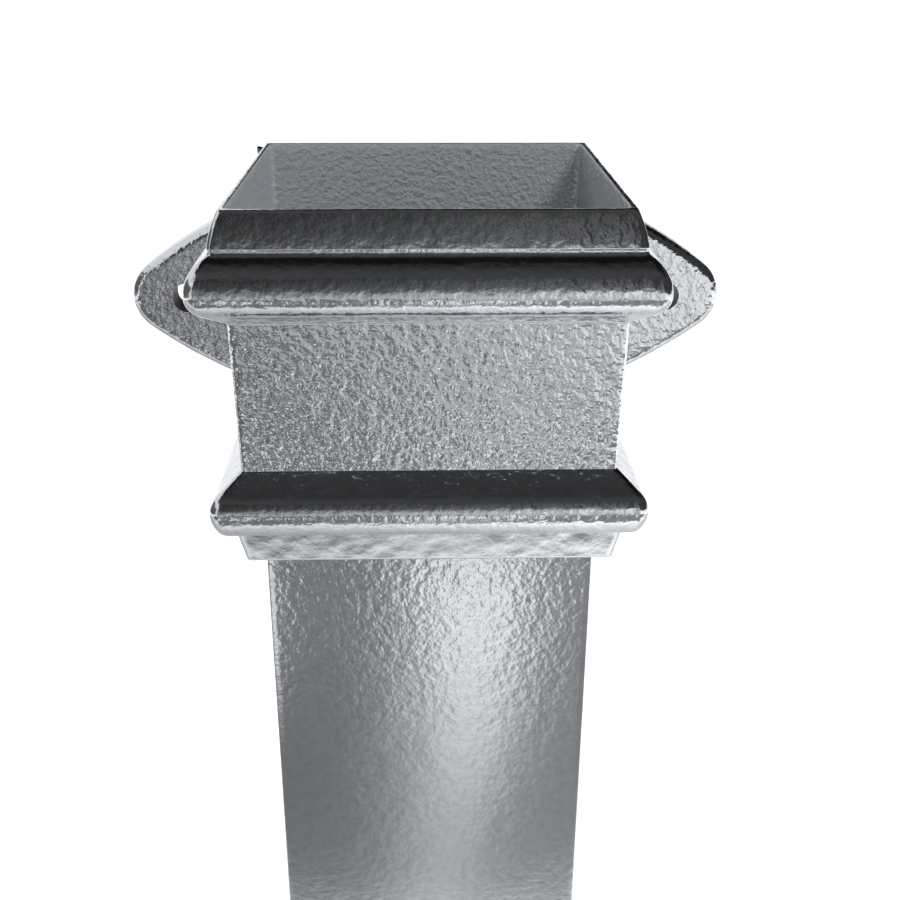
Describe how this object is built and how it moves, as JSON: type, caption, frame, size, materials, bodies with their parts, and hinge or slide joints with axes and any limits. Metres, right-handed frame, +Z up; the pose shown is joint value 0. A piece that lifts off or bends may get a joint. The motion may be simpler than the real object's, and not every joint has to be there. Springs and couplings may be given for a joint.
{
  "type": "square downpipe",
  "caption": "Square rainwater downpipe cast in one piece, with a moulded socket at the top, drilled fixing ears behind it and a plain spigot end.",
  "frame": {"origin": "midway between the ear holes, on the wall plane, which is the flat back of the ears and the socket", "axes": "+Z up the pipe towards the socket's rim, +X from ear to ear, +Y into the wall, so the moulded front faces -Y"},
  "size_m": [0.16, 0.0918, 0.684],
  "materials": {
    "casting": "glossy silver-grey metallic finish over a pebbled as-cast skin"
  },
  "bodies": {
    "root": {"downpipe": "casting"}
  },
  "joints": []
}
